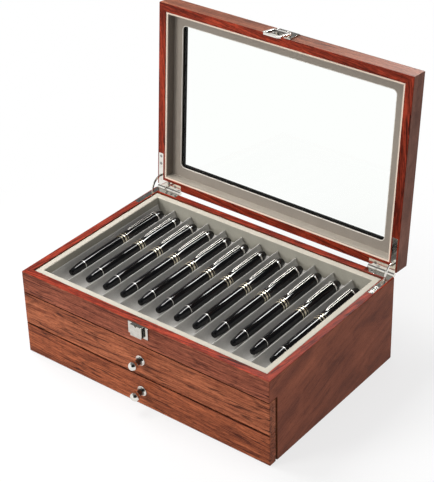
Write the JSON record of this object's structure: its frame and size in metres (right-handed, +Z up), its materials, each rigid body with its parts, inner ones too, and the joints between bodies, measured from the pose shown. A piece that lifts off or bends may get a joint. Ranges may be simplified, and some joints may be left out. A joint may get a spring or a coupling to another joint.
{
  "type": "pen collector chest",
  "caption": "Wooden pen collector chest: hinged glass-topped lid over a grooved tray of capped pens, full-width grooved drawers with ball knobs, quadrant hinges and a swinging ring hasp.",
  "frame": {"origin": "centre of the case's footprint on the surface it stands on", "axes": "+Z up; +Y towards the hinges at the back; +X to the right seen from the drawer fronts"},
  "size_m": [0.3, 0.2577, 0.3106],
  "materials": {
    "case_wood": "oiled satin",
    "inner_wood": "plain sanded",
    "grey_velvet": "short pile velvet",
    "liner_cloth": "velvet-covered board",
    "clear_glass": "polished",
    "polished_nickel": "polished nickel",
    "screw_steel": "zinc-plated",
    "pen_black": "gloss black with pale metal clip and bands"
  },
  "bodies": {
    "case": {"back_panel": "case_wood", "base_hinge_screws": "polished_nickel", "bottom_panel": "inner_wood", "catch_block": "polished_nickel", "drawer_divider": "inner_wood", "front_apron": "case_wood", "hinge_base_leaf_left": "polished_nickel", "hinge_base_leaf_right": "polished_nickel", "hinge_pins": "polished_nickel", "left_side_panel": "case_wood", "right_side_panel": "case_wood", "tray_floor": "inner_wood", "tray_liner_back": "liner_cloth", "tray_liner_front": "liner_cloth", "tray_liner_left": "liner_cloth", "tray_liner_right": "liner_cloth", "tray_pen_bed": "grey_velvet"},
    "lid": {"lid_front_rail": "case_wood", "lid_back_rail": "case_wood", "lid_left_rail": "case_wood", "lid_right_rail": "case_wood", "lid_glass": "clear_glass", "lid_liner_boards": "liner_cloth", "lid_bezel": "liner_cloth", "hinge_lid_leaf_left": "polished_nickel", "hinge_lid_leaf_right": "polished_nickel", "lid_hinge_screws": "polished_nickel", "hasp_plate": "polished_nickel", "hasp_pin": "polished_nickel"},
    "hasp_ring": {"hasp_ring": "polished_nickel"},
    "stay_left": {"hinge_stay_left": "polished_nickel"},
    "stay_right": {"hinge_stay_right": "polished_nickel"},
    "upper_drawer": {"upper_drawer_back": "inner_wood", "upper_drawer_bed": "grey_velvet", "upper_drawer_bottom": "inner_wood", "upper_drawer_front": "case_wood", "upper_drawer_left_side": "inner_wood", "upper_drawer_right_side": "inner_wood", "upper_knob": "polished_nickel", "upper_knob_screw": "screw_steel"},
    "lower_drawer": {"lower_drawer_back": "inner_wood", "lower_drawer_bed": "grey_velvet", "lower_drawer_bottom": "inner_wood", "lower_drawer_front": "case_wood", "lower_drawer_left_side": "inner_wood", "lower_drawer_right_side": "inner_wood", "lower_knob": "polished_nickel", "lower_knob_screw": "screw_steel"},
    "pen_01": {"pen_01": "pen_black"},
    "pen_02": {"pen_02": "pen_black"},
    "pen_03": {"pen_03": "pen_black"},
    "pen_04": {"pen_04": "pen_black"},
    "pen_05": {"pen_05": "pen_black"},
    "pen_06": {"pen_06": "pen_black"},
    "pen_07": {"pen_07": "pen_black"},
    "pen_08": {"pen_08": "pen_black"},
    "pen_09": {"pen_09": "pen_black"},
    "pen_10": {"pen_10": "pen_black"},
    "pen_11": {"pen_11": "pen_black"},
    "pen_12": {"pen_12": "pen_black"}
  },
  "joints": [
    {"name": "lid_hinge", "type": "hinge", "parent": "case", "child": "lid", "pos_m": [0, 0.1044, 0.0962], "axis": [-1, 0, 0], "range_deg": [-94.5, 0]},
    {"name": "stay_left_swing", "type": "hinge", "parent": "case", "child": "stay_left", "pos_m": [0, 0.1044, 0.0962], "axis": [-1, 0, 0], "range_deg": [-47.25, 0]},
    {"name": "stay_right_swing", "type": "hinge", "parent": "case", "child": "stay_right", "pos_m": [0, 0.1044, 0.0962], "axis": [-1, 0, 0], "range_deg": [-47.25, 0]},
    {"name": "hasp_ring_hinge", "type": "hinge", "parent": "lid", "child": "hasp_ring", "pos_m": [0, 0.12709, 0.30546], "axis": [-1, 0, 0], "range_deg": [-6, 95]},
    {"name": "upper_drawer_slide", "type": "slide", "parent": "case", "child": "upper_drawer", "axis": [0, -1, 0], "range_m": [0, 0.15]},
    {"name": "lower_drawer_slide", "type": "slide", "parent": "case", "child": "lower_drawer", "axis": [0, -1, 0], "range_m": [0, 0.15]},
    {"name": "pen_01_lift", "type": "slide", "parent": "case", "child": "pen_01", "axis": [0, 0, 1], "range_m": [0, 0.04]},
    {"name": "pen_02_lift", "type": "slide", "parent": "case", "child": "pen_02", "axis": [0, 0, 1], "range_m": [0, 0.04]},
    {"name": "pen_03_lift", "type": "slide", "parent": "case", "child": "pen_03", "axis": [0, 0, 1], "range_m": [0, 0.04]},
    {"name": "pen_04_lift", "type": "slide", "parent": "case", "child": "pen_04", "axis": [0, 0, 1], "range_m": [0, 0.04]},
    {"name": "pen_05_lift", "type": "slide", "parent": "case", "child": "pen_05", "axis": [0, 0, 1], "range_m": [0, 0.04]},
    {"name": "pen_06_lift", "type": "slide", "parent": "case", "child": "pen_06", "axis": [0, 0, 1], "range_m": [0, 0.04]},
    {"name": "pen_07_lift", "type": "slide", "parent": "case", "child": "pen_07", "axis": [0, 0, 1], "range_m": [0, 0.04]},
    {"name": "pen_08_lift", "type": "slide", "parent": "case", "child": "pen_08", "axis": [0, 0, 1], "range_m": [0, 0.04]},
    {"name": "pen_09_lift", "type": "slide", "parent": "case", "child": "pen_09", "axis": [0, 0, 1], "range_m": [0, 0.04]},
    {"name": "pen_10_lift", "type": "slide", "parent": "case", "child": "pen_10", "axis": [0, 0, 1], "range_m": [0, 0.04]},
    {"name": "pen_11_lift", "type": "slide", "parent": "case", "child": "pen_11", "axis": [0, 0, 1], "range_m": [0, 0.04]},
    {"name": "pen_12_lift", "type": "slide", "parent": "case", "child": "pen_12", "axis": [0, 0, 1], "range_m": [0, 0.04]}
  ],
  "couplings": [
    {"joint": "stay_left_swing", "follows": "lid_hinge", "ratio": 0.5},
    {"joint": "stay_right_swing", "follows": "lid_hinge", "ratio": 0.5}
  ]
}
